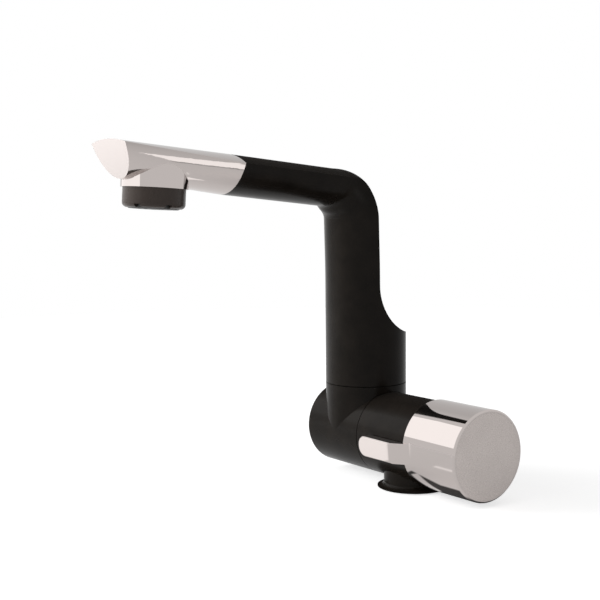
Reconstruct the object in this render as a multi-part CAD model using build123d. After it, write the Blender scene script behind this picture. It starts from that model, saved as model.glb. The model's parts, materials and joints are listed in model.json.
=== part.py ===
from build123d import *
import math
import os

# Folding electric tap: a barrel lies on a low foot, a tee folds about the barrel's axis,
# a spout swivels on the tee, and a chromed knob with a finger lever turns the valve and
# its switch. Millimetres. The origin is the centre of the foot on the worktop, +X runs
# along the barrel to the knob, -Y is where the spout points, and +Z is up.

# Stance
barrel_lift = 2.9
riser_x = -36.5

# Clearances
parting_gap = 0.4
running_clearance = 0.05
seat_clearance = 0.02
screw_play = 0.4

# Foot
foot_flange_radius = 17.3
foot_rim = 0.5
foot_flare_height = 1.9
foot_neck_radius = 14.2
gasket_inner_radius = 12.9
gasket_width = 1.6
gasket_depth = 1.0
inlet_x = -5.0
inlet_thread_radius = 4.5
inlet_thread_depth = 7.2
inlet_boss_radius = 7.0
stud_spacing = 21.0
stud_hole_radius = 2.1
stud_hole_depth = 8.0
cable_x = 7.5
cable_hole_radius = 3.0
cable_radius = 1.8
grommet_head_radius = 4.0
grommet_head_height = 1.0
grommet_height = 5.2

# Barrel
barrel_radius = 20.2
barrel_edge_round = 1.6
tee_back = 22.9
fold_line = 17.7
body_wall = 2.8
body_web_x = -11.0
body_cavity_start_x = -8.0
wet_bore_end_x = 3.0

# Fold pivot
pivot_radius = 9.0
pivot_bore_radius = 4.5
pivot_head_radius = 13.0
pivot_head_length = 3.0
pivot_reach = 15.0
pivot_port_width = 7.0
pivot_port_radius = 7.2
pivot_front_seal_reach = 12.0
pivot_rear_seal_reach = 9.5
slide_ring_margin = 2.6
slide_ring_inner_radius = 11.0
slide_ring_sunk = 0.8
washer_radius = 12.5
washer_thickness = 1.2
clip_inset = 2.0
clip_groove_radius = 7.8
clip_thickness = 1.0
clip_radius = 11.0
end_cap_radius = 14.0
end_cap_thickness = 3.0
end_cap_skirt = 1.6
end_cap_edge = 0.4
o_ring_cord = 1.6
o_ring_squeeze_gap = 0.05

# Riser
riser_stub = 3.2
riser_tube_radius = 9.0
riser_tube_bore_radius = 6.0
riser_tube_seat = 12.1
riser_tube_reach = 27.5
lower_seal_rise = 5.5
upper_seal_inset = 6.0
retaining_groove_rise = 11.5
retaining_groove_width = 5.0
retaining_groove_radius = 7.4
spout_screw_radius = 2.5
spout_screw_length = 8.0
spout_screw_socket_radius = 1.25
spout_screw_socket_depth = 3.0

# Spout column, elbow and arm
collar_height = 24.3
scoop_radius = 25.5
scoop_steps = 6
rim_crown = 0.3
back_setback = 6.2
back_crown = 4.7
column_lean = 1.4
bow_radius = 600.0
elbow_inner_radius = 6.6
elbow_inner_fill = 1.2
elbow_outer_fill = 1.3
elbow_steps = 8
arm_rise = 106.1
arm_tilt = 6.0
joint_setback = 37.3
tenon_length = 14.0
tenon_inset = 2.6
channel_depth = 10.6
channel_radius = 4.6
tube_radius = 4.5
tube_bore_radius = 3.6
tube_foot_rise = 3.0

# Chromed spout head and outlet
head_overrun = 66.0
tip_half_width = 15.6
tip_setback = 3.2
tip_depth = 17.8
tip_crown = 1.2
tip_face_overhang = 23.0
tip_face_slant = 26.0
outlet_reach = 118.5
outlet_radius = 15.0
outlet_drop = 21.0
outlet_root_drop = 10.0
outlet_tilt = 4.0
outlet_wall = 1.0
aerator_clearance = 0.1
aerator_sunk = 4.0
aerator_drop = 8.8
aerator_wall = 2.4
aerator_edge_round = 2.1
notch_count = 6
notch_width = 3.0
notch_height = 1.4
insert_drop = 9.2
insert_height = 3.0
insert_edge_round = 0.8
insert_hole_radius = 1.15
insert_hole_pitch = 3.4
core_height = 6.0
core_radius = 9.0
core_plate_thickness = 1.2
core_plate_bore = 2.0
seal_thickness = 1.5
seal_bore_radius = 8.0
outlet_chamber_radius = 8.5
outlet_chamber_drop = 12.5

# Knob and finger lever
knob_step = 1.0
knob_rear_x = 17.0
knob_face_x = 51.2
knob_edge = 0.8
knob_wall = 2.4
knob_end_wall = 3.0
disc_margin = 1.5
disc_thickness = 1.5
finger_width = 9.8
finger_rise = 4.5
finger_tip_x = -11.5
finger_crease_x = 10.8
finger_air = 1.1
finger_tip_round = 4.6
finger_edge_round = 0.4
finger_angle = 4.6
thumb_crease_round = 8.0
thumb_ramp_angle = 27.0
thumb_flat_start_x = 21.0
thumb_flat_end_x = 45.0
thumb_flat_depth = 0.7

# Valve
valve_radius = 10.5
valve_shoulder = 1.9
valve_collar_length = 2.5
valve_collar_x = 0.5
spindle_radius = 4.0
spindle_tip_x = 33.0
spindle_flat_depth = 3.0
spindle_flange_length = 1.6
spindle_flange_play = 0.2
spindle_flange_margin = 0.6
disc_stack_radius = 8.0
ceramic_thickness = 2.4
port_radius = 2.2
port_offset = 4.2
seat_seal_thickness = 1.6
knob_hub_radius = 7.5
knob_hub_start_x = 22.0
knob_hub_flange = 3.0
knob_hub_rib_count = 4
knob_hub_rib_thickness = 2.0
knob_hub_rib_start = 4.0
knob_hub_rib_margin = 0.5
knob_screw_radius = 2.0
knob_screw_thread = 0.3
knob_screw_head_radius = 4.0
knob_screw_head_height = 2.4
knob_screw_length = 14.0
knob_screw_socket_radius = 1.5
knob_screw_end_air = 2.0
retaining_ring_length = 3.5
retaining_ring_inset = 0.6
retaining_ring_play = 0.1
retaining_ring_bore = 11.5
retaining_slot_count = 4
retaining_slot_width = 3.0
retaining_slot_depth = 2.0
retaining_slot_reach = 3.3
carrier_wall = 3.2
valve_window_radius = 2.2
valve_window_x = -1.0

# Switch and its cam
cam_x = 5.6
cam_thickness = 3.2
cam_low_radius = 6.4
switch_travel = 1.5
knob_travel = 90.0
cam_start_angle = 90.0
cam_steps = 8
cam_dwell = 25.0
cam_back_relief = 0.2
switch_width = 5.4
switch_top_air = 1.8
switch_corner_air = 0.5
switch_gap = 2.1
carrier_window_air = 1.5
plunger_radius = 1.2
plunger_depth = 3.2
plunger_air = 0.1
plunger_tip_round = 0.7
bracket_skirt = 2.4
bracket_overhang = 0.3
bracket_air = 1.4
switch_screw_radius = 0.9
switch_screw_inset = 1.9
switch_screw_head_radius = 1.7
switch_screw_head_height = 1.0

# Values that follow from the ones above
axis_height = barrel_lift + barrel_radius
body_end_x = knob_rear_x - parting_gap
body_bore_radius = barrel_radius - body_wall
setback_width = math.sqrt(barrel_radius**2 - back_setback**2)
slide_ring_outer_radius = barrel_radius - slide_ring_margin
tee_face_x = riser_x + fold_line - parting_gap / 2
body_face_x = riser_x + fold_line + parting_gap / 2
tee_back_x = riser_x - tee_back
pivot_end_x = riser_x - pivot_reach
clip_x = pivot_end_x + clip_inset
swivel_height = axis_height + barrel_radius + riser_stub
tee_top_height = swivel_height - parting_gap / 2
collar_foot_height = swivel_height + parting_gap / 2
riser_tube_foot_height = axis_height + riser_tube_seat
riser_tube_top_height = swivel_height + riser_tube_reach
retaining_groove_height = swivel_height + retaining_groove_rise
tube_foot_height = riser_tube_top_height + tube_foot_rise
rim_height = swivel_height + collar_height
scoop_top_height = rim_height + scoop_radius
arm_axis_height = swivel_height + arm_rise
elbow_radius = barrel_radius + elbow_inner_radius
joint_reach = outlet_reach - joint_setback
tip_face_reach = outlet_reach + tip_face_overhang
arm_height_at_outlet = arm_axis_height + outlet_reach * math.tan(math.radians(arm_tilt))
outlet_rim_height = arm_height_at_outlet - outlet_drop
outlet_root_height = arm_height_at_outlet - outlet_root_drop
outlet_chamber_height = arm_height_at_outlet - outlet_chamber_drop
aerator_radius = outlet_radius - outlet_wall
knob_radius = barrel_radius + knob_step
knob_inner_radius = knob_radius - knob_wall
knob_wall_x = knob_face_x - disc_thickness - knob_end_wall
disc_radius = knob_radius - disc_margin
finger_gap_radius = barrel_radius + finger_air
finger_outer = barrel_radius + finger_rise
valve_collar_radius = body_bore_radius - valve_shoulder
retaining_ring_radius = body_bore_radius - retaining_ring_play
retaining_slot_root = retaining_ring_radius - retaining_slot_reach
retaining_ring_start_x = body_end_x - retaining_ring_length - retaining_ring_inset
carrier_bore_radius = body_bore_radius - carrier_wall
cam_middle_x = cam_x + cam_thickness / 2
switch_foot_height = axis_height + cam_low_radius + switch_travel + switch_gap
switch_top_radius = body_bore_radius - switch_top_air
switch_height = axis_height + switch_top_radius - switch_foot_height
switch_length = 2 * math.sqrt((body_bore_radius - switch_corner_air)**2 - switch_top_radius**2)
switch_screw_spacing = switch_length - 2 * switch_screw_inset
bracket_width = switch_length + 2 * bracket_overhang
riser_axis = Vector(riser_x, 0, 0)


def bar(start, end, radius):
    """A round bar between two points."""
    line = Vector(end) - Vector(start)
    place = Plane(origin=start, z_dir=line)
    return place * Cylinder(radius, line.length, align=(Align.CENTER, Align.CENTER, Align.MIN))


def bar_x(start_x, end_x, radius):
    """A round bar on the barrel's axis."""
    return bar((start_x, 0, axis_height), (end_x, 0, axis_height), radius)


def bar_z(start_height, end_height, radius, x=0.0, y=0.0):
    """A vertical round bar."""
    return bar((x, y, start_height), (x, y, end_height), radius)


def ring_x(start_x, end_x, outer, inner):
    return bar_x(start_x, end_x, outer) - bar_x(start_x, end_x, inner)


def ring_z(start_height, end_height, outer, inner, x=0.0, y=0.0):
    return bar_z(start_height, end_height, outer, x, y) - bar_z(start_height, end_height, inner, x, y)


def o_ring(centre, direction, shaft_radius):
    """A seal whose cord lies just inside the shaft's own radius."""
    middle = shaft_radius - o_ring_cord / 2 - o_ring_squeeze_gap
    return Plane(origin=centre, z_dir=direction) * Torus(middle, o_ring_cord / 2)


def o_ring_groove(centre, direction, shaft_radius):
    """The square groove that holds the seal."""
    half = Vector(direction) * (o_ring_cord / 2 + o_ring_squeeze_gap)
    start = Vector(centre) - half
    end = Vector(centre) + half
    depth = o_ring_cord + 2 * o_ring_squeeze_gap
    return bar(start, end, shaft_radius + 1) - bar(start, end, shaft_radius - depth)


def save(name, *solids):
    shape = solids[0] if len(solids) == 1 else Compound(children=list(solids))
    export_step(shape, f"parts/{name}.step")


# Foot: a flared rosette with the inlet, two stud threads and the cable outlet
def make_foot():
    neck_top = axis_height
    flare_top = foot_rim + foot_flare_height
    outline = Polyline(
        (0, 0), (foot_flange_radius, 0), (foot_flange_radius, foot_rim)
    ) + ThreePointArc(
        (foot_flange_radius, foot_rim),
        (
            foot_neck_radius + (foot_flange_radius - foot_neck_radius) * (1 - math.sqrt(0.5)),
            foot_rim + foot_flare_height * (1 - math.sqrt(0.5)),
        ),
        (foot_neck_radius, flare_top),
    ) + Polyline((foot_neck_radius, flare_top), (foot_neck_radius, neck_top), (0, neck_top), (0, 0))
    foot = revolve(Plane.XZ * make_face(outline), Axis.Z)
    foot -= bar_x(-foot_flange_radius - 1, foot_flange_radius + 1, barrel_radius)
    foot += bar_z(gasket_depth, inlet_thread_depth, inlet_boss_radius, inlet_x)
    foot -= ring_z(0, gasket_depth, gasket_inner_radius + gasket_width, gasket_inner_radius)
    foot -= bar_z(0, inlet_thread_depth, inlet_thread_radius, inlet_x)
    for side in (-1, 1):
        foot -= bar_z(0, stud_hole_depth, stud_hole_radius, 0, side * stud_spacing / 2)
    foot -= bar_z(0, axis_height, cable_hole_radius, cable_x)
    foot -= bar_z(0, grommet_head_height, grommet_head_radius, cable_x)
    return foot


def make_gasket():
    outer = gasket_inner_radius + gasket_width - seat_clearance
    return ring_z(0, gasket_depth - seat_clearance, outer, gasket_inner_radius + seat_clearance)


def make_grommet():
    head = bar_z(0, grommet_head_height - seat_clearance, grommet_head_radius - seat_clearance, cable_x)
    sleeve = bar_z(0, grommet_height, cable_hole_radius - seat_clearance, cable_x)
    return head + sleeve - bar_z(0, grommet_height, cable_radius, cable_x)


# Body: the barrel's fixed middle, bored from the knob end for the valve and the switch
def make_body():
    body = bar_x(body_face_x, body_end_x, barrel_radius)
    body -= bar_x(body_cavity_start_x, body_end_x, valve_collar_radius + seat_clearance)
    body -= bar_x(wet_bore_end_x, body_end_x, body_bore_radius)
    body -= bar_x(body_face_x, body_cavity_start_x, pivot_radius + seat_clearance)
    body -= bar_x(body_web_x, body_cavity_start_x, pivot_head_radius + seat_clearance)
    body -= ring_x(
        body_face_x, body_face_x + slide_ring_sunk, slide_ring_outer_radius, slide_ring_inner_radius
    )
    body -= bar_z(0, axis_height, inlet_boss_radius + seat_clearance, inlet_x)
    body -= bar_z(0, axis_height, cable_hole_radius, cable_x)
    for side in (-1, 1):
        body -= bar_z(0, stud_hole_depth, stud_hole_radius, 0, side * stud_spacing / 2)
    return body


def make_fold_ring():
    start_x = tee_face_x
    end_x = body_face_x + slide_ring_sunk - seat_clearance
    outer = slide_ring_outer_radius - running_clearance
    return ring_x(start_x + running_clearance, end_x, outer, slide_ring_inner_radius + running_clearance)


# Fold pivot: a hollow spigot through the tee, sealed on both sides of the riser's port
pivot_seal_places = (
    Vector(riser_x + pivot_front_seal_reach, 0, axis_height),
    Vector(riser_x - pivot_rear_seal_reach, 0, axis_height),
)


def make_pivot_spigot():
    head_end_x = body_web_x + pivot_head_length - seat_clearance
    spigot = bar_x(pivot_end_x, head_end_x, pivot_radius)
    spigot += bar_x(body_web_x + seat_clearance, head_end_x, pivot_head_radius)
    spigot -= bar_x(riser_x - pivot_bore_radius, head_end_x, pivot_bore_radius)
    lowest = axis_height - barrel_radius
    spigot -= bar_z(lowest, axis_height + barrel_radius, pivot_bore_radius / 2, riser_x)
    port_start_x = riser_x - pivot_port_width / 2
    spigot -= ring_x(port_start_x, port_start_x + pivot_port_width, pivot_radius + 1, pivot_port_radius)
    for place in pivot_seal_places:
        spigot -= o_ring_groove(place, (1, 0, 0), pivot_radius)
    spigot -= ring_x(clip_x, clip_x + clip_thickness, pivot_radius + 1, clip_groove_radius)
    return spigot


def make_pivot_washer():
    start_x = clip_x + clip_thickness + running_clearance
    return ring_x(start_x, start_x + washer_thickness, washer_radius, pivot_radius + running_clearance)


def make_pivot_clip():
    start_x = clip_x + seat_clearance
    end_x = clip_x + clip_thickness - seat_clearance
    clip = ring_x(start_x, end_x, clip_radius, clip_groove_radius + seat_clearance)
    mouth = Box(clip_thickness * 2, clip_groove_radius, clip_radius * 2)
    return clip - Pos(clip_x, 0, axis_height - clip_radius) * mouth


# Tee: two crossing cylinders of one radius, bored for the spigot and the riser tube
tee_pocket_x = clip_x + clip_thickness + washer_thickness + 2 * running_clearance


def make_tee():
    barrel = bar_x(tee_back_x, tee_face_x, barrel_radius)
    rear_edge = barrel.edges().filter_by(GeomType.CIRCLE).group_by(Axis.X)[0]
    barrel = fillet(rear_edge, barrel_edge_round)
    tee = barrel + bar_z(axis_height, tee_top_height, barrel_radius, riser_x)
    tee -= bar_x(tee_back_x, tee_face_x, pivot_radius + running_clearance)
    tee -= bar_x(tee_back_x, tee_pocket_x, end_cap_radius)
    tee -= bar_x(tee_face_x, body_end_x, barrel_radius + parting_gap / 2)
    tee -= bar_z(axis_height, tee_top_height, pivot_bore_radius, riser_x)
    tee -= bar_z(riser_tube_foot_height, tee_top_height, riser_tube_radius + seat_clearance, riser_x)
    tee -= ring_z(
        tee_top_height - slide_ring_sunk,
        tee_top_height,
        slide_ring_outer_radius,
        slide_ring_inner_radius,
        riser_x,
    )
    return tee


def make_tee_end_cap():
    radius = end_cap_radius - seat_clearance
    cap = bar_x(tee_back_x, tee_back_x + end_cap_thickness, radius)
    outer_edge = cap.edges().filter_by(GeomType.CIRCLE).group_by(Axis.X)[0]
    cap = chamfer(outer_edge, end_cap_edge)
    skirt_end_x = clip_x - running_clearance
    return cap + ring_x(tee_back_x + end_cap_thickness, skirt_end_x, radius, radius - end_cap_skirt)


# Riser: a hollow shaft fixed in the tee, with the groove that holds the spout down
riser_seal_heights = (swivel_height + lower_seal_rise, riser_tube_top_height - upper_seal_inset)


def make_riser_tube():
    tube = bar_z(riser_tube_foot_height + seat_clearance, riser_tube_top_height, riser_tube_radius, riser_x)
    tube -= bar_z(riser_tube_foot_height, riser_tube_top_height, riser_tube_bore_radius, riser_x)
    tube -= ring_z(
        retaining_groove_height - retaining_groove_width / 2,
        retaining_groove_height + retaining_groove_width / 2,
        riser_tube_radius + 1,
        retaining_groove_radius,
        riser_x,
    )
    for height in riser_seal_heights:
        tube -= o_ring_groove((riser_x, 0, height), (0, 0, 1), riser_tube_radius)
    return tube


def make_swivel_ring():
    return ring_z(
        tee_top_height - slide_ring_sunk + seat_clearance,
        collar_foot_height - running_clearance,
        slide_ring_outer_radius - running_clearance,
        slide_ring_inner_radius + running_clearance,
        riser_x,
    )


# Spout: its section is a round front closed by a crowned back, kept the whole way
turn = 90.0 - column_lean - arm_tilt
elbow_tangent = elbow_radius * math.tan(math.radians(turn / 2))
bow_rise = bow_radius * math.sin(math.radians(column_lean))
column_drop = arm_axis_height - scoop_top_height - bow_rise
column_length = column_drop / math.cos(math.radians(column_lean)) - elbow_tangent
spout_plane = Plane(origin=riser_axis, x_dir=(0, 1, 0), z_dir=(1, 0, 0))
bow = JernArc((0, scoop_top_height), (0, 1), bow_radius, column_lean)
column = Line(bow @ 1, (bow @ 1) + (bow % 1) * column_length)
elbow = JernArc(column @ 1, column % 1, elbow_radius, turn)
arm_direction = elbow % 1
arm = Line(elbow @ 1, (elbow @ 1) + arm_direction * (joint_reach - elbow_tangent))
corner_point = (elbow @ 1) - arm_direction * elbow_tangent
arm_world = Vector(0, arm_direction.X, arm_direction.Y)
arm_corner = Vector(riser_x, corner_point.X, corner_point.Y)


def arm_plane(reach):
    """The plane square to the arm, at a reach from where arm and column axes meet."""
    return Plane(origin=arm_corner + arm_world * reach, x_dir=(1, 0, 0), z_dir=arm_world)


def lens(half_width, setback, crown, depth):
    """A round front below a crowned back, on local x across and local y outwards."""
    front = ThreePointArc((-half_width, -setback), (0, -depth), (half_width, -setback))
    back = ThreePointArc((half_width, -setback), (0, crown - setback), (-half_width, -setback))
    return make_face(front + back)


def spout_section():
    return lens(setback_width, back_setback, back_crown, barrel_radius)


def make_elbow():
    """The bend, thickened inside at its middle and outside towards the arm."""
    sections = []
    for index in range(elbow_steps + 1):
        share = index / elbow_steps
        setback = back_setback - elbow_outer_fill * math.sin(math.pi * share**2)**2
        depth = barrel_radius + elbow_inner_fill * math.sin(math.pi * share)**2
        point = elbow @ share
        direction = elbow % share
        place = Plane(
            origin=(riser_x, point.X, point.Y), x_dir=(1, 0, 0), z_dir=(0, direction.X, direction.Y)
        )
        sections.append(place * lens(setback_width, setback, back_crown, depth))
    return loft(sections)


def scoop_profile(crown):
    """What the scoop clears in one half-plane through its centre line, on local x and outwards y."""
    crown_radius = (setback_width**2 + crown**2) / (2 * crown)
    reach = barrel_radius + 1
    drop = crown_radius - math.sqrt(crown_radius**2 - reach**2)
    waist = scoop_radius - crown
    core = scoop_radius / 10
    outline = ThreePointArc((-reach, waist + drop), (0, waist), (reach, waist + drop))
    outline += Polyline((reach, waist + drop), (reach, core), (-reach, core), (-reach, waist + drop))
    return make_face(outline)


def scoop_cutter():
    """Carries the back's crown round the scoop, where it fades out towards the collar's rim."""
    centre = Vector(riser_x, scoop_radius - back_setback, scoop_top_height)
    profiles = []
    for index in range(scoop_steps + 1):
        angle = math.radians(90 * index / scoop_steps)
        crown = rim_crown + (back_crown - rim_crown) * math.cos(angle)
        place = Plane(origin=centre, x_dir=(1, 0, 0), z_dir=(0, math.sin(angle), -math.cos(angle)))
        profiles.append(place * scoop_profile(crown))
    reach = Vector(barrel_radius + 1, 0, 0)
    cutter = loft(profiles) + extrude(profiles[-1], back_setback)
    return cutter + bar(centre - reach, centre + reach, scoop_radius / 2)


def make_spout_body():
    collar = bar_z(collar_foot_height, scoop_top_height, barrel_radius, riser_x) - scoop_cutter()
    start_plane = Plane(origin=(riser_x, 0, scoop_top_height), x_dir=(1, 0, 0), z_dir=(0, 0, 1))
    path = spout_plane * (bow + column + elbow + arm)
    shape = collar + sweep(start_plane * spout_section(), path=spout_plane * (bow + column))
    shape += make_elbow()
    shape += extrude(arm_plane(elbow_tangent) * spout_section(), joint_reach - elbow_tangent)
    tenon = extrude(arm_plane(joint_reach) * offset(spout_section(), -tenon_inset), tenon_length)
    shape += tenon
    bore_radius = riser_tube_radius + running_clearance
    shape -= bar_z(collar_foot_height, riser_tube_top_height + 1, bore_radius, riser_x)
    channel = Pos(0, -channel_depth) * Circle(channel_radius)
    shape -= sweep(start_plane * channel, path=path)
    shape -= extrude(start_plane * channel, -(scoop_top_height - riser_tube_top_height + 2))
    shape -= extrude(arm_plane(joint_reach) * channel, tenon_length)
    screw_axis_end = (riser_x, barrel_radius + 1, retaining_groove_height)
    shape -= bar((riser_x, 0, retaining_groove_height), screw_axis_end, spout_screw_radius + seat_clearance)
    return shape


def make_spout_screw():
    start = Vector(riser_x, retaining_groove_radius + screw_play, retaining_groove_height)
    end = start + Vector(0, spout_screw_length, 0)
    screw = bar(start, end, spout_screw_radius)
    return screw - bar(end - Vector(0, spout_screw_socket_depth, 0), end, spout_screw_socket_radius)


def make_water_tube():
    start_plane = Plane(origin=(riser_x, 0, scoop_top_height), x_dir=(1, 0, 0), z_dir=(0, 0, 1))
    path = spout_plane * (bow + column + elbow + arm)
    ring = Pos(0, -channel_depth) * (Circle(tube_radius) - Circle(tube_bore_radius))
    tube = sweep(start_plane * ring, path=path)
    tube += extrude(start_plane * ring, -(scoop_top_height - tube_foot_height))
    return tube + extrude(arm_plane(joint_reach) * ring, tenon_length)


# Spout head: tapers to an undercut face and carries the round outlet
def head_solid():
    root = arm_plane(joint_reach) * spout_section()
    tip = arm_plane(joint_reach + head_overrun) * lens(tip_half_width, tip_setback, tip_crown, tip_depth)
    return loft([root, tip], ruled=True)


def tip_cutter():
    slant = math.radians(tip_face_slant)
    up = Vector(0, arm_world.Z, -arm_world.Y)
    normal = arm_world * math.cos(slant) - up * math.sin(slant)
    place = Plane(origin=arm_corner + arm_world * tip_face_reach, x_dir=(1, 0, 0), z_dir=normal)
    size = 4 * barrel_radius
    return place * Box(size, size, size, align=(Align.CENTER, Align.CENTER, Align.MIN))


def tilted(shape):
    """Leans the upright outlet so that its foot points a little away from the column."""
    return shape.rotate(Axis((0, -outlet_reach, outlet_rim_height), (-1, 0, 0)), outlet_tilt)


def make_spout_head():
    head = head_solid() - tip_cutter()
    outlet = (riser_x, -outlet_reach)
    head += tilted(bar_z(outlet_rim_height, outlet_root_height, outlet_radius, *outlet))
    socket = offset(spout_section(), seat_clearance - tenon_inset)
    head -= extrude(arm_plane(joint_reach) * socket, tenon_length + seat_clearance)
    channel = Pos(0, -channel_depth) * Circle(channel_radius)
    head -= extrude(arm_plane(joint_reach) * channel, outlet_reach - joint_reach)
    seat_height = outlet_rim_height + aerator_sunk + seal_thickness
    lowest = outlet_rim_height - aerator_drop
    head -= tilted(bar_z(lowest, seat_height, aerator_radius + aerator_clearance, *outlet))
    return head - tilted(bar_z(outlet_rim_height, outlet_chamber_height, outlet_chamber_radius, *outlet))


def make_aerator_ring():
    outlet = (riser_x, -outlet_reach)
    foot_height = outlet_rim_height - aerator_drop
    top_height = outlet_rim_height + aerator_sunk - seat_clearance
    ring = bar_z(foot_height, top_height, aerator_radius, *outlet)
    ring = fillet(ring.edges().filter_by(GeomType.CIRCLE).group_by(Axis.Z)[0], aerator_edge_round)
    ring -= bar_z(foot_height, top_height, aerator_radius - aerator_wall, *outlet)
    for index in range(notch_count):
        place = Pos(riser_x, -outlet_reach, foot_height) * Rot(0, 0, 360 * index / notch_count)
        notch = Box(2 * aerator_wall, notch_width, 2 * notch_height)
        ring -= place * Pos(aerator_radius - aerator_wall / 2, 0, 0) * notch
    return tilted(ring)


def make_aerator_insert():
    outlet = (riser_x, -outlet_reach)
    foot_height = outlet_rim_height - insert_drop
    radius = aerator_radius - aerator_wall - seat_clearance
    insert = bar_z(foot_height, foot_height + insert_height, radius, *outlet)
    insert = fillet(insert.edges().filter_by(GeomType.CIRCLE).group_by(Axis.Z)[0], insert_edge_round)
    rows = ((0, 1), (1, 6), (2, 12))
    for row, count in rows:
        for index in range(count):
            angle = math.radians(360 * index / count)
            x = riser_x + row * insert_hole_pitch * math.cos(angle)
            y = -outlet_reach + row * insert_hole_pitch * math.sin(angle)
            insert -= bar_z(foot_height, foot_height + insert_height, insert_hole_radius, x, y)
    return tilted(insert)


def make_aerator_core():
    foot_height = outlet_rim_height - insert_drop + insert_height + seat_clearance
    radius = aerator_radius - aerator_wall - seat_clearance
    top_height = foot_height + core_height
    core = ring_z(foot_height, top_height, radius, core_radius, riser_x, -outlet_reach)
    plate_top = foot_height + core_plate_thickness
    plate_radius = (radius + core_radius) / 2
    core += ring_z(foot_height, plate_top, plate_radius, core_plate_bore, riser_x, -outlet_reach)
    return tilted(core)


def make_aerator_seal():
    foot_height = outlet_rim_height + aerator_sunk
    top_height = foot_height + seal_thickness - seat_clearance
    return tilted(ring_z(foot_height, top_height, aerator_radius, seal_bore_radius, riser_x, -outlet_reach))


# Valve: a quarter-turn cartridge with two ported ceramic discs
ceramic_start_x = body_cavity_start_x + seat_seal_thickness + seat_clearance


def make_valve_seal():
    start_x = body_cavity_start_x + seat_clearance
    return ring_x(start_x, ceramic_start_x - seat_clearance, disc_stack_radius, pivot_bore_radius)


def ceramic_disc(start_x):
    disc = bar_x(start_x, start_x + ceramic_thickness, disc_stack_radius)
    for side in (-1, 1):
        start = (start_x, side * port_offset, axis_height)
        end = (start_x + ceramic_thickness, side * port_offset, axis_height)
        disc -= bar(start, end, port_radius)
    return disc


def make_fixed_disc():
    return ceramic_disc(ceramic_start_x)


def make_moving_disc():
    return ceramic_disc(ceramic_start_x + ceramic_thickness + running_clearance)


moving_disc_end_x = ceramic_start_x + 2 * ceramic_thickness + running_clearance


knob_screw_tip_x = knob_wall_x - knob_screw_length
knob_screw_hole_x = knob_screw_tip_x - knob_screw_end_air
spindle_seal_place = Vector(valve_collar_x + valve_collar_length / 2, 0, axis_height)


def make_spindle():
    start_x = moving_disc_end_x + seat_clearance
    spindle = bar_x(start_x, spindle_tip_x, spindle_radius)
    flange_end_x = start_x + spindle_flange_length
    spindle += bar_x(start_x, flange_end_x, disc_stack_radius - spindle_flange_margin)
    flat = Box(
        spindle_tip_x - knob_hub_start_x,
        2 * spindle_radius,
        spindle_radius,
        align=(Align.MIN, Align.CENTER, Align.MIN),
    )
    spindle -= Pos(knob_hub_start_x, 0, axis_height + spindle_flat_depth) * flat
    spindle -= o_ring_groove(spindle_seal_place, (1, 0, 0), spindle_radius)
    return spindle - bar_x(knob_screw_hole_x, spindle_tip_x, knob_screw_radius - knob_screw_thread)


valve_seal_place = Vector(valve_collar_x + valve_collar_length / 2, 0, axis_height)


def make_valve_body():
    start_x = body_cavity_start_x + seat_clearance
    front_x = valve_collar_x + valve_collar_length
    valve = bar_x(start_x, front_x, valve_radius) + bar_x(valve_collar_x, front_x, valve_collar_radius)
    flange_end_x = moving_disc_end_x + spindle_flange_length + spindle_flange_play
    valve -= bar_x(start_x, flange_end_x, disc_stack_radius + running_clearance)
    valve -= bar_x(start_x, front_x, spindle_radius + running_clearance)
    for direction in ((0, 1, 0), (0, 0, 1)):
        reach = Vector(direction) * barrel_radius
        centre = Vector(valve_window_x, 0, axis_height)
        window = bar(centre - reach, centre + reach, valve_window_radius)
        valve -= window - bar_x(start_x, valve_collar_x, disc_stack_radius)
    return valve - o_ring_groove(valve_seal_place, (1, 0, 0), valve_collar_radius)


def make_retaining_ring():
    end_x = retaining_ring_start_x + retaining_ring_length
    ring = ring_x(retaining_ring_start_x, end_x, retaining_ring_radius, retaining_ring_bore)
    for index in range(retaining_slot_count):
        slot = Box(retaining_slot_depth * 2, retaining_slot_width, 2 * barrel_radius)
        place = Pos(end_x, 0, axis_height) * Rot(360 * index / retaining_slot_count, 0, 0)
        ring -= place * Pos(0, 0, barrel_radius + retaining_slot_root) * slot
    return ring


def make_carrier():
    """Spacer sleeve that the retaining ring clamps against the valve's collar."""
    start_x = valve_collar_x + valve_collar_length + 2 * seat_clearance
    end_x = retaining_ring_start_x - seat_clearance
    sleeve = ring_x(start_x, end_x, body_bore_radius - seat_clearance, carrier_bore_radius)
    window = Box(
        end_x - start_x,
        switch_length + 2 * carrier_window_air,
        2 * barrel_radius,
        align=(Align.MIN, Align.CENTER, Align.MIN),
    )
    sleeve -= Pos(start_x, 0, axis_height) * window
    return sleeve - bar_z(0, axis_height, cable_hole_radius, cable_x)


# Switch: a spiral cam on the spindle lifts the plunger evenly over the knob's quarter turn
def cam_radius(angle):
    """Radius at an angle from +Y towards +Z, at rest."""
    share = (angle - cam_start_angle) / knob_travel
    return cam_low_radius + switch_travel * min(1.0, max(0.0, share))


def cam_point(angle, radius):
    return (radius * math.cos(math.radians(angle)), radius * math.sin(math.radians(angle)))


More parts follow.
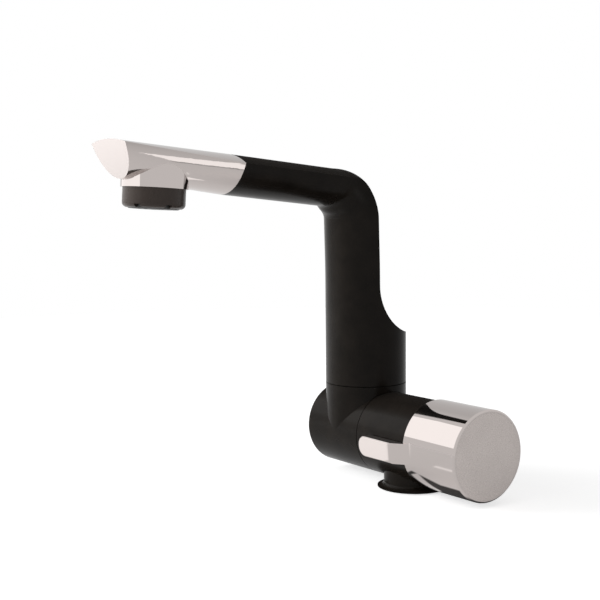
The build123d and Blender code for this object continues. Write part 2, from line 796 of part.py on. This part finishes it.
def make_switch_cam():
    end_angle = cam_start_angle + knob_travel
    crest_end = end_angle + cam_dwell
    low_start = cam_start_angle - cam_dwell
    top = cam_low_radius + switch_travel
    rise = [cam_start_angle + knob_travel * index / cam_steps for index in range(cam_steps + 1)]
    spiral = Spline(*[cam_point(angle, cam_radius(angle)) for angle in rise])
    crest = ThreePointArc(
        cam_point(end_angle, top), cam_point(end_angle + cam_dwell / 2, top), cam_point(crest_end, top)
    )
    back_angle = (crest_end + 360 + low_start) / 2
    back = ThreePointArc(
        cam_point(crest_end, top),
        cam_point(back_angle, cam_low_radius - cam_back_relief),
        cam_point(low_start, cam_low_radius),
    )
    dwell = ThreePointArc(
        cam_point(low_start, cam_low_radius),
        cam_point(cam_start_angle - cam_dwell / 2, cam_low_radius),
        cam_point(cam_start_angle, cam_low_radius),
    )
    outline = make_face(spiral + crest + back + dwell)
    plane = Plane(origin=(cam_x, 0, axis_height), x_dir=(0, 1, 0), z_dir=(1, 0, 0))
    cam = extrude(plane * outline, cam_thickness)
    return cam - bar_x(cam_x, cam_x + cam_thickness, spindle_radius + seat_clearance)


def make_micro_switch():
    case = Box(switch_width, switch_length, switch_height, align=(Align.CENTER, Align.CENTER, Align.MIN))
    case = Pos(cam_middle_x, 0, switch_foot_height) * case
    depth = switch_foot_height + plunger_depth + switch_travel + plunger_air
    case -= bar_z(switch_foot_height, depth, plunger_radius + running_clearance, cam_middle_x)
    for side in (-1, 1):
        y = side * switch_screw_spacing / 2
        start = (cam_middle_x - switch_width, y, switch_foot_height + switch_height / 2)
        end = (cam_middle_x + switch_width, y, switch_foot_height + switch_height / 2)
        case -= bar(start, end, switch_screw_radius + seat_clearance)
    return case


def make_switch_plunger():
    tip_height = axis_height + cam_low_radius + plunger_air
    plunger = bar_z(tip_height, switch_foot_height + plunger_depth, plunger_radius, cam_middle_x)
    return fillet(plunger.edges().filter_by(GeomType.CIRCLE).group_by(Axis.Z)[0], plunger_tip_round)


def make_switch_bracket():
    """Angle plate on the valve's collar that the switch is screwed to."""
    back_x = cam_middle_x - switch_width / 2 - seat_clearance
    front_x = valve_collar_x + valve_collar_length + seat_clearance
    plate = Box(
        back_x - front_x,
        bracket_width,
        switch_height + bracket_skirt,
        align=(Align.MIN, Align.CENTER, Align.MIN),
    )
    plate = Pos(front_x, 0, switch_foot_height - bracket_skirt) * plate
    plate &= bar_x(front_x, back_x, body_bore_radius - bracket_air)
    for side in (-1, 1):
        y = side * switch_screw_spacing / 2
        start = (front_x, y, switch_foot_height + switch_height / 2)
        end = (back_x, y, switch_foot_height + switch_height / 2)
        plate -= bar(start, end, switch_screw_radius + seat_clearance)
    return plate


def make_switch_screws():
    start_x = valve_collar_x + valve_collar_length + 3 * seat_clearance
    end_x = cam_middle_x + switch_width / 2 + seat_clearance
    screws = []
    for side in (-1, 1):
        y = side * switch_screw_spacing / 2
        z = switch_foot_height + switch_height / 2
        screw = bar((start_x, y, z), (end_x + switch_screw_head_height, y, z), switch_screw_radius)
        screw += bar((end_x, y, z), (end_x + switch_screw_head_height, y, z), switch_screw_head_radius)
        screws.append(screw)
    return screws


# Knob: a cup with a finger that runs back over the body, its hub, screw and end disc
def thumb_cutter():
    """Leaves the finger by a steep ramp and fades out as a shallow flat along the cup."""
    width = 2 * knob_radius
    ramp_end_radius = knob_radius - thumb_flat_depth
    crease = JernArc((finger_crease_x, finger_outer), (1, 0), thumb_crease_round, -thumb_ramp_angle)
    outline = crease + Polyline(
        crease @ 1,
        (thumb_flat_start_x, ramp_end_radius),
        (thumb_flat_end_x, knob_radius),
        (thumb_flat_end_x, finger_outer + 1),
        (finger_crease_x, finger_outer + 1),
        (finger_crease_x, finger_outer),
    )
    place = Plane(origin=(0, width / 2, axis_height), x_dir=(1, 0, 0), z_dir=(0, -1, 0))
    return extrude(place * make_face(outline), width)


def make_knob_lever():
    half = finger_width / 2
    finger = Box(
        thumb_flat_end_x - finger_tip_x,
        finger_width,
        finger_outer,
        align=(Align.MIN, Align.CENTER, Align.MIN),
    )
    finger = Pos(finger_tip_x, 0, axis_height) * finger
    tip_edges = finger.edges().filter_by(Axis.Z).group_by(Axis.X)[0]
    finger = fillet(tip_edges, finger_tip_round)
    long_edges = finger.edges().filter_by(Axis.X).group_by(Axis.Z)[-1]
    finger = fillet(long_edges, finger_edge_round)
    finger -= bar_x(finger_tip_x - 1, knob_rear_x, finger_gap_radius)
    cup = bar_x(knob_rear_x, knob_face_x, knob_radius)
    cup = chamfer(cup.edges().filter_by(GeomType.CIRCLE).group_by(Axis.X)[-1], knob_edge)
    lever = cup + finger - thumb_cutter()
    lever = lever.rotate(Axis((0, 0, axis_height), (1, 0, 0)), 90 + finger_angle)
    lever -= bar_x(knob_rear_x, knob_wall_x, knob_inner_radius)
    lever -= bar_x(knob_face_x - disc_thickness, knob_face_x, disc_radius + seat_clearance)
    return lever - bar_x(knob_wall_x, knob_face_x, knob_screw_head_radius + screw_play)


def make_knob_disc():
    return bar_x(knob_face_x - disc_thickness + seat_clearance, knob_face_x, disc_radius)


def make_knob_hub():
    end_x = knob_wall_x - seat_clearance
    radius = knob_inner_radius - seat_clearance
    rib_start_x = knob_hub_start_x + knob_hub_rib_start
    hub = bar_x(knob_hub_start_x, end_x, knob_hub_radius)
    hub += bar_x(end_x - knob_hub_flange, end_x, radius)
    for index in range(knob_hub_rib_count):
        rib = Box(
            end_x - rib_start_x,
            knob_hub_rib_thickness,
            radius - knob_hub_rib_margin,
            align=(Align.MIN, Align.CENTER, Align.MIN),
        )
        angle = 360 * (index + 0.5) / knob_hub_rib_count
        hub += Pos(rib_start_x, 0, axis_height) * Rot(angle, 0, 0) * rib
    socket = bar_x(knob_hub_start_x, spindle_tip_x + seat_clearance, spindle_radius + seat_clearance)
    flat = Box(
        spindle_tip_x,
        2 * spindle_radius,
        spindle_radius,
        align=(Align.MIN, Align.CENTER, Align.MIN),
    )
    flat_height = axis_height + spindle_flat_depth + seat_clearance
    hub -= socket - Pos(knob_hub_start_x, 0, flat_height) * flat
    hub -= bar_x(knob_hub_start_x, end_x, knob_screw_radius + seat_clearance)
    return hub


def make_knob_screw():
    thread_radius = knob_screw_radius - knob_screw_thread - running_clearance
    head_end_x = knob_wall_x + knob_screw_head_height
    screw = bar_x(knob_screw_tip_x, knob_wall_x, thread_radius)
    screw += bar_x(spindle_tip_x + seat_clearance, knob_wall_x, knob_screw_radius - running_clearance)
    screw += bar_x(knob_wall_x, head_end_x, knob_screw_head_radius)
    return screw - bar_x(knob_wall_x + knob_screw_head_height / 2, head_end_x, knob_screw_socket_radius)


os.makedirs("parts", exist_ok=True)
save("foot", make_foot())
save("foot_gasket", make_gasket())
save("cable_grommet", make_grommet())
save("body_shell", make_body())
save("fold_ring", make_fold_ring())
save("pivot_spigot", make_pivot_spigot())
save("pivot_seals", *[o_ring(place, (1, 0, 0), pivot_radius) for place in pivot_seal_places])
save("pivot_washer", make_pivot_washer())
save("pivot_clip", make_pivot_clip())
save("tee_housing", make_tee())
save("tee_end_cap", make_tee_end_cap())
save("riser_tube", make_riser_tube())
save(
    "riser_seals",
    *[o_ring((riser_x, 0, height), (0, 0, 1), riser_tube_radius) for height in riser_seal_heights],
)
save("swivel_ring", make_swivel_ring())
save("spout_body", make_spout_body())
save("spout_screw", make_spout_screw())
save("water_tube", make_water_tube())
save("spout_head", make_spout_head())
save("aerator_ring", make_aerator_ring())
save("aerator_insert", make_aerator_insert())
save("aerator_core", make_aerator_core())
save("aerator_seal", make_aerator_seal())
save("valve_seal", make_valve_seal())
save("valve_o_ring", o_ring(valve_seal_place, (1, 0, 0), valve_collar_radius))
save("spindle_o_ring", o_ring(spindle_seal_place, (1, 0, 0), spindle_radius))
save("fixed_disc", make_fixed_disc())
save("moving_disc", make_moving_disc())
save("valve_spindle", make_spindle())
save("valve_body", make_valve_body())
save("valve_carrier", make_carrier())
save("retaining_ring", make_retaining_ring())
save("switch_cam", make_switch_cam())
save("micro_switch", make_micro_switch())
save("switch_plunger", make_switch_plunger())
save("switch_bracket", make_switch_bracket())
save("switch_screws", *make_switch_screws())
save("knob_lever", make_knob_lever())
save("knob_disc", make_knob_disc())
save("knob_hub", make_knob_hub())
save("knob_screw", make_knob_screw())
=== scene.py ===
import bpy
import json
import math
from mathutils import Matrix, Vector


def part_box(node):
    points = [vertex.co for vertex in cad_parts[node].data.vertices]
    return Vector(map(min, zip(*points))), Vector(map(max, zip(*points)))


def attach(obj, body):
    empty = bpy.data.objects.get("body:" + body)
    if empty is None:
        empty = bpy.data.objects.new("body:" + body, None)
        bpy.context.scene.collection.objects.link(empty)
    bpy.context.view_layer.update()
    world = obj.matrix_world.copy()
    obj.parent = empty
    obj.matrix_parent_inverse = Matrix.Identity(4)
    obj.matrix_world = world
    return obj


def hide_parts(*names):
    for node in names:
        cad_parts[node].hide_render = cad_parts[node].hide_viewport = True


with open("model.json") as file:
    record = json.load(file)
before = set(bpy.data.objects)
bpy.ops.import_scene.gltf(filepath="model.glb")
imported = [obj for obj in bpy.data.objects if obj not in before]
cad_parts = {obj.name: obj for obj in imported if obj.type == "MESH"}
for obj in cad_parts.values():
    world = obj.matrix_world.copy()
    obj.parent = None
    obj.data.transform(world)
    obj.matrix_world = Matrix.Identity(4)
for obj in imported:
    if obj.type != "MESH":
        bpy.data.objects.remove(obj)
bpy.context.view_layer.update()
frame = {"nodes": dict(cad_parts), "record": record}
nodes = frame["nodes"]

# Lengths are in metres and angles in degrees, unless a comment says otherwise

# Camera, fitted to the photograph's vanishing lines
camera_place = Vector((0.42811, -0.36912, 0.14087))
camera_azimuth = 54.72
camera_drop = 5.11
camera_roll = -0.53
camera_near = 0.01
# Millimetres
camera_lens = 70.97
sensor_width = 36.0

# The lever's thumb flat: where it ends in the solid and where it should end, at the knob's rim
flat_end_x = 0.0450
flat_rim_x = 0.0502
shell_radius = 0.0212
# The way from the flat into the knob, as Y and Z
flat_inward = Vector((0.9968, 0.0797))
weld_gap = 0.00002
# A stored normal is kept where its cosine to its face's own is above this
kept_lean = 0.5

# Colours as linear values, the last with its alpha
lacquer_black = (0.0105, 0.0082, 0.0064)
chrome_tint = (0.547, 0.497, 0.478)
disc_tint = (0.560, 0.508, 0.485)
aerator_brown = (0.052, 0.039, 0.033)
plastic_black = (0.020, 0.019, 0.018)
rubber_black = (0.016, 0.016, 0.016)
slide_white = (0.70, 0.68, 0.62)
hose_grey = (0.60, 0.63, 0.65)
switch_red = (0.42, 0.03, 0.02)
brass_yellow = (0.66, 0.44, 0.17)
steel_grey = (0.52, 0.51, 0.50)
ceramic_white = (0.80, 0.78, 0.74)
paper_white = (0.90, 0.90, 0.90)
# The painted shade's colour: reflections see the floor turn this dark where shadow is painted
painted_shade_black = (0.02, 0.02, 0.02)
pure_white = (1, 1, 1, 1)

# Surfaces: the patches' scale as a share of the grain's, and the part of a noise that is in use
patch_share = 0.12
noise_start = 0.3
noise_end = 0.7
patch_detail = 3
grain_detail = 4
bump_strength = 0.3
lacquer_specular = 0.08
plastic_specular = 0.5
# How far the patches' colours lie from the middle one, as a share of it
lacquer_spread = 0.25
metal_spread = 0.03
plastic_spread = 0.15
# The lacquer's dull top: between these heights of the normal, its roughness grows by so much
dull_start = 0.6
dull_end = 0.9
dust_dulling = 0.70

# Room: its level where it lights the part, and where it is mirrored
room_level = 0.33
mirrored_level = 0.93
# Behind the tap and above it the mirrored room is a little darker
back_azimuth = 140.0
back_elevation = 28.0
back_level = 0.70
# Where the darker part starts and where it is full, as cosines of the angle from its middle
back_edges = (0.80, 0.94)

# Lamps, both in front of the tap to the left: a wide soft box and a low key. Powers are in watts
soft_box_place = Vector((-0.38, -0.61, 0.54))
soft_box_azimuth = 235.0
soft_box_width = 1.30
soft_box_height = 0.72
soft_box_power = 2.2
key_place = Vector((-0.75, -0.85, 0.30))
key_target = Vector((0.0, -0.05, 0.07))
key_size = 0.7
key_power = 12.0

# Floor: a round sheet of white paper, a hair below the foot
floor_radius = 0.9
floor_drop = 0.0004
floor_corners = 96
floor_roughness = 0.9
# How bright the paper is by itself to the camera, and in reflections
floor_level = 0.63
floor_mirrored = 0.33
# Painted highlights and painted shade on the floor, seen only in reflections: left, right, front
# and back, the turn in degrees, and how bright the painted highlight is or how deep the painted
# shade is
painted_highlight_cards = (
    (-0.110, -0.060, -0.0256, -0.006, 38, 0.60),
    (0.119, 0.200, -0.047, 0.020, 0, 0.75),
    (-0.008, 0.012, -0.0558, -0.0540, 0, 0.45),
)
floor_shades = (
    (-0.004, 0.032, -0.0238, 0.010, 20, 0.92),
    (-0.020, 0.010, -0.0205, 0.024, 0, 0.92),
    (0.022, 0.052, -0.0155, 0.024, 0, 0.92),
    (0.106, 0.115, -0.050, 0.010, 0, 0.45),
)
# The light streak left across the painted shade under the knob
floor_gap = (-0.009, 0.013, -0.0227, -0.0175, 45)
card_softness = 0.001


def node(tree, kind, **settings):
    """A shader node with its settings."""
    made = tree.nodes.new(kind)
    for name, value in settings.items():
        setattr(made, name, value)
    return made


def feed(tree, socket, value):
    """Gives an input a number or another node's output."""
    if isinstance(value, (int, float)):
        socket.default_value = value
    else:
        tree.links.new(value, socket)


def calculate(tree, operation, first, second):
    """A maths node on two numbers or outputs."""
    made = node(tree, "ShaderNodeMath", operation=operation)
    feed(tree, made.inputs[0], first)
    feed(tree, made.inputs[1], second)
    return made.outputs[0]


def ramp(tree, value, low, high, start=noise_start, end=noise_end):
    """Spreads a value between two numbers; by default the value is a noise."""
    spread = node(tree, "ShaderNodeMapRange")
    spread.inputs["From Min"].default_value = start
    spread.inputs["From Max"].default_value = end
    spread.inputs["To Min"].default_value = low
    spread.inputs["To Max"].default_value = high
    tree.links.new(value, spread.inputs["Value"])
    return spread.outputs["Result"]


def colour_mix(tree, value, first, second):
    """The first colour where the value is 0, the second where it is 1."""
    mix = node(tree, "ShaderNodeMix", data_type="RGBA")
    mix.inputs["A"].default_value = (*first, 1)
    mix.inputs["B"].default_value = (*second, 1)
    tree.links.new(value, mix.inputs["Factor"])
    return mix.outputs["Result"]


def coordinates(tree, kind):
    """One kind of texture coordinates, such as Object."""
    return node(tree, "ShaderNodeTexCoord").outputs[kind]


def by_ray(tree, unseen, seen, mirrored):
    """One level for the camera and for looking through, one for glossy rays, one for the rest."""
    rays = node(tree, "ShaderNodeLightPath").outputs
    straight = calculate(tree, "MAXIMUM", rays["Is Camera Ray"], rays["Is Transmission Ray"])
    level = unseen
    for is_kind, value in ((rays["Is Glossy Ray"], mirrored), (straight, seen)):
        mix = node(tree, "ShaderNodeMix", data_type="FLOAT")
        tree.links.new(is_kind, mix.inputs["Factor"])
        feed(tree, mix.inputs["A"], level)
        feed(tree, mix.inputs["B"], value)
        level = mix.outputs["Result"]
    return level


def new_material(name):
    """A material with its node tree and its shader."""
    material = bpy.data.materials.new(name)
    material.use_nodes = True
    tree = material.node_tree
    return material, tree, tree.nodes["Principled BSDF"]


def object_noise(tree, scale, detail):
    """Noise fixed to the object, so it stays put at every pose."""
    noise = node(tree, "ShaderNodeTexNoise")
    noise.inputs["Scale"].default_value = scale
    noise.inputs["Detail"].default_value = detail
    tree.links.new(coordinates(tree, "Object"), noise.inputs["Vector"])
    return noise.outputs["Fac"]


def scaled(colour, factor):
    """The colour times a factor, no part above 1."""
    return tuple(min(1.0, part * factor) for part in colour)


def finish_with(tree, shader, colour, spread, roughness, grain_scale, bump_depth):
    """Colour, roughness and fine relief that vary over a surface; gives the roughness."""
    patches = object_noise(tree, grain_scale * patch_share, patch_detail)
    grain = object_noise(tree, grain_scale, grain_detail)
    tone = ramp(tree, patches, 0, 1)
    mixed = colour_mix(tree, tone, scaled(colour, 1 - spread), scaled(colour, 1 + spread))
    tree.links.new(mixed, shader.inputs["Base Color"])
    rough = ramp(tree, grain, *roughness)
    tree.links.new(rough, shader.inputs["Roughness"])
    if bump_depth:
        relief = node(tree, "ShaderNodeBump")
        relief.inputs["Distance"].default_value = bump_depth
        relief.inputs["Strength"].default_value = bump_strength
        tree.links.new(grain, relief.inputs["Height"])
        tree.links.new(relief.outputs["Normal"], shader.inputs["Normal"])
    return rough


def lacquer(name, colour, roughness, grain_scale, depth):
    """Enamel with a little orange peel, duller on the faces that look up."""
    material, tree, shader = new_material(name)
    gloss = finish_with(tree, shader, colour, lacquer_spread, roughness, grain_scale, depth)
    facing = node(tree, "ShaderNodeSeparateXYZ")
    tree.links.new(coordinates(tree, "Normal"), facing.inputs["Vector"])
    dull = ramp(tree, facing.outputs["Z"], 0.0, dust_dulling, dull_start, dull_end)
    tree.links.new(calculate(tree, "ADD", gloss, dull), shader.inputs["Roughness"])
    shader.inputs["Specular IOR Level"].default_value = lacquer_specular
    return material


def metal(name, tint, roughness, grain_scale, depth):
    """Bare or plated metal."""
    material, tree, shader = new_material(name)
    finish_with(tree, shader, tint, metal_spread, roughness, grain_scale, depth)
    shader.inputs["Metallic"].default_value = 1.0
    return material


def plastic(
    name, colour, roughness, grain_scale, depth, spread=plastic_spread, specular=plastic_specular
):
    """Plastic, rubber or ceramic."""
    material, tree, shader = new_material(name)
    finish_with(tree, shader, colour, spread, roughness, grain_scale, depth)
    shader.inputs["Specular IOR Level"].default_value = specular
    return material


def add_object(name, data):
    """A new object in the scene."""
    made = bpy.data.objects.new(name, data)
    bpy.context.scene.collection.objects.link(made)
    return made


# Materials by slot: name, colour, least and most roughness, grain's scale, relief's depth,
# and in some the spread of the colour
materials = {
    "black_lacquer": lacquer("black_lacquer", lacquer_black, (0.20, 0.26), 900, 0.00001),
    "chrome": metal("chrome", chrome_tint, (0.03, 0.05), 60, 0.0),
    "brushed_chrome": metal("brushed_chrome", disc_tint, (0.22, 0.30), 700, 0.00002),
    "aerator_plastic": plastic(
        "aerator_plastic", aerator_brown, (0.26, 0.32), 260, 0.000004, specular=0.2
    ),
    "black_plastic": plastic("black_plastic", plastic_black, (0.35, 0.5), 1400, 0.00002),
    "slide_plastic": plastic("slide_plastic", slide_white, (0.35, 0.5), 900, 0.00001, 0.05),
    "clear_hose": plastic("clear_hose", hose_grey, (0.2, 0.3), 300, 0.00001, 0.05),
    "switch_red": plastic("switch_red", switch_red, (0.3, 0.4), 900, 0.00001),
    "rubber": plastic("rubber", rubber_black, (0.6, 0.8), 1600, 0.00003),
    "brass": metal("brass", brass_yellow, (0.22, 0.34), 500, 0.00001),
    "spring_steel": metal("spring_steel", steel_grey, (0.25, 0.38), 800, 0.00001),
    "ceramic": plastic("ceramic", ceramic_white, (0.1, 0.2), 400, 0.0, 0.03),
}
slot_of = {part["node"]: part["material_slot"] for part in frame["record"]["subparts"]}
for name, shown in nodes.items():
    shown.data.materials.clear()
    shown.data.materials.append(materials[slot_of[name]])


def pale_room():
    """A world that is white to the camera, and darker behind the tap in reflections."""
    world = bpy.data.worlds.new("studio")
    bpy.context.scene.world = world
    world.use_nodes = True
    tree = world.node_tree
    background = tree.nodes["Background"]
    background.inputs["Color"].default_value = pure_white
    towards_back = node(tree, "ShaderNodeVectorMath", operation="DOT_PRODUCT")
    tree.links.new(coordinates(tree, "Generated"), towards_back.inputs[0])
    azimuth, elevation = math.radians(back_azimuth), math.radians(back_elevation)
    towards_back.inputs[1].default_value = (
        math.cos(azimuth) * math.cos(elevation),
        math.sin(azimuth) * math.cos(elevation),
        math.sin(elevation),
    )
    facing = towards_back.outputs["Value"]
    mirrored = ramp(tree, facing, mirrored_level, back_level, *back_edges)
    strength = by_ray(tree, room_level, 1.0, mirrored)
    tree.links.new(strength, background.inputs["Strength"])


def area_lamp(name, width, height, power):
    """A flat lamp that the camera doesn't see."""
    light = bpy.data.lights.new(name, "AREA")
    light.shape = "RECTANGLE"
    light.size = width
    light.size_y = height
    light.energy = power
    lamp = add_object(name, light)
    lamp.visible_camera = False
    return lamp


def lamps():
    """The soft box that the chrome mirrors, and the key that shapes the black parts."""
    soft_box = area_lamp("soft_box", soft_box_width, soft_box_height, soft_box_power)
    soft_box.matrix_world = (
        Matrix.Translation(soft_box_place)
        @ Matrix.Rotation(math.radians(soft_box_azimuth + 90), 4, "Z")
        @ Matrix.Rotation(math.radians(90), 4, "X")
    )
    key = area_lamp("key", key_size, key_size, key_power)
    key.location = key_place
    key.rotation_mode = "QUATERNION"
    key.rotation_quaternion = (key_target - key_place).to_track_quat("-Z", "Y")
    key.visible_glossy = False


def lever_shell():
    """The knob's shell, its thumb flat carried on to the rim as one even facet."""
    source = nodes["knob_lever"].data
    low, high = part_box("knob_disc")
    middle = (low[2] + high[2]) / 2
    places = [corner.co.copy() for corner in source.vertices]
    for place in places:
        if abs(place.x - flat_end_x) > weld_gap:
            continue
        place.x = flat_rim_x
        # A corner that stands proud of the shell goes back to it, across the flat
        outward = Vector((place.y, place.z - middle))
        along = outward.dot(flat_inward)
        proud = outward.length_squared - shell_radius * shell_radius
        if proud > 2 * shell_radius * weld_gap:
            step = -along - math.sqrt(along * along - proud)
            place.y += step * flat_inward.x
            place.z += step * flat_inward.y
    faces, normals = [], []
    for face in source.polygons:
        first, second, third = (places[index] for index in face.vertices)
        across = (second - first).cross(third - first)
        if across.length < weld_gap * weld_gap:
            continue
        faces.append(tuple(face.vertices))
        across.normalize()
        for corner in face.loop_indices:
            stored = source.corner_normals[corner].vector
            normals.append(stored.copy() if stored.dot(across) > kept_lean else across)
    mesh = bpy.data.meshes.new("lever_shell")
    mesh.from_pydata(places, [], faces)
    mesh.materials.append(materials["chrome"])
    mesh.shade_smooth()
    mesh.normals_split_custom_set(normals)
    shell = add_object("lever_shell", mesh)
    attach(shell, "knob")
    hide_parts("knob_lever")


def between(tree, value, low, high):
    """1 between two places on the floor, with soft edges."""
    rise = node(tree, "ShaderNodeMapRange", interpolation_type="SMOOTHSTEP")
    rise.inputs["From Min"].default_value = low - card_softness
    rise.inputs["From Max"].default_value = low + card_softness
    fall = node(tree, "ShaderNodeMapRange", interpolation_type="SMOOTHSTEP")
    fall.inputs["From Min"].default_value = high + card_softness
    fall.inputs["From Max"].default_value = high - card_softness
    for edge in (rise, fall):
        tree.links.new(value, edge.inputs["Value"])
    return calculate(tree, "MULTIPLY", rise.outputs["Result"], fall.outputs["Result"])


def card(tree, left, right, front, back, turn):
    """1 on a rectangle of the floor, 0 elsewhere; the turn is about the world's Z axis."""
    turned_back = node(tree, "ShaderNodeVectorRotate", rotation_type="Z_AXIS")
    turned_back.inputs["Angle"].default_value = -math.radians(turn)
    tree.links.new(coordinates(tree, "Object"), turned_back.inputs["Vector"])
    place = node(tree, "ShaderNodeSeparateXYZ")
    tree.links.new(turned_back.outputs["Vector"], place.inputs["Vector"])
    across = between(tree, place.outputs["X"], left, right)
    along = between(tree, place.outputs["Y"], front, back)
    return calculate(tree, "MULTIPLY", across, along)


def floor_paper():
    """White paper that shines a little to the camera; its painted highlights and painted shade
    show only in reflections.
    """
    paper, tree, shader = new_material("floor_paper")
    shader.inputs["Roughness"].default_value = floor_roughness
    shader.inputs["Specular IOR Level"].default_value = 0.0
    shader.inputs["Emission Color"].default_value = pure_white
    # Painted shade, seen only in reflections: on these rectangles the paper's glow and colour go
    # dark
    shaded = 0.0
    for *edges, depth in floor_shades:
        shade = calculate(tree, "MULTIPLY", card(tree, *edges), depth)
        shaded = calculate(tree, "MAXIMUM", shaded, shade)
    outside_gap = calculate(tree, "SUBTRACT", 1.0, card(tree, *floor_gap))
    shaded = calculate(tree, "MULTIPLY", shaded, outside_gap)
    clear = calculate(tree, "SUBTRACT", 1.0, shaded)
    mirrored = calculate(tree, "MULTIPLY", clear, floor_mirrored)
    # Painted highlights: glowing patches of the paper that only reflections see
    for *edges, level in painted_highlight_cards:
        bright = calculate(tree, "MULTIPLY", card(tree, *edges), level)
        mirrored = calculate(tree, "ADD", mirrored, bright)
    glow = by_ray(tree, 0.0, floor_level, mirrored)
    tree.links.new(glow, shader.inputs["Emission Strength"])
    # The painted shade darkens the paper's colour too, for reflections only
    darkening = by_ray(tree, 0.0, 0.0, shaded)
    colour = colour_mix(tree, darkening, paper_white, painted_shade_black)
    tree.links.new(colour, shader.inputs["Base Color"])
    return paper


def white_floor():
    """A round sheet that keeps the tap's shadow."""
    turns = [math.tau * corner / floor_corners for corner in range(floor_corners)]
    rim = [(floor_radius * math.cos(turn), floor_radius * math.sin(turn), 0) for turn in turns]
    mesh = bpy.data.meshes.new("floor")
    mesh.from_pydata(rim, [], [tuple(range(floor_corners))])
    mesh.materials.append(floor_paper())
    floor = add_object("floor", mesh)
    floor.location.z = -floor_drop


def camera():
    """The photograph's view."""
    data = bpy.data.cameras.new("camera")
    data.lens = camera_lens
    data.sensor_width = sensor_width
    data.clip_start = camera_near
    made = add_object("camera", data)
    made.matrix_world = (
        Matrix.Translation(camera_place)
        @ Matrix.Rotation(math.radians(camera_azimuth), 4, "Z")
        @ Matrix.Rotation(math.radians(90 - camera_drop), 4, "X")
        @ Matrix.Rotation(math.radians(camera_roll), 4, "Z")
    )
    bpy.context.scene.camera = made


pale_room()
lamps()
lever_shell()
white_floor()
camera()
bpy.context.scene.view_settings.view_transform = "Standard"
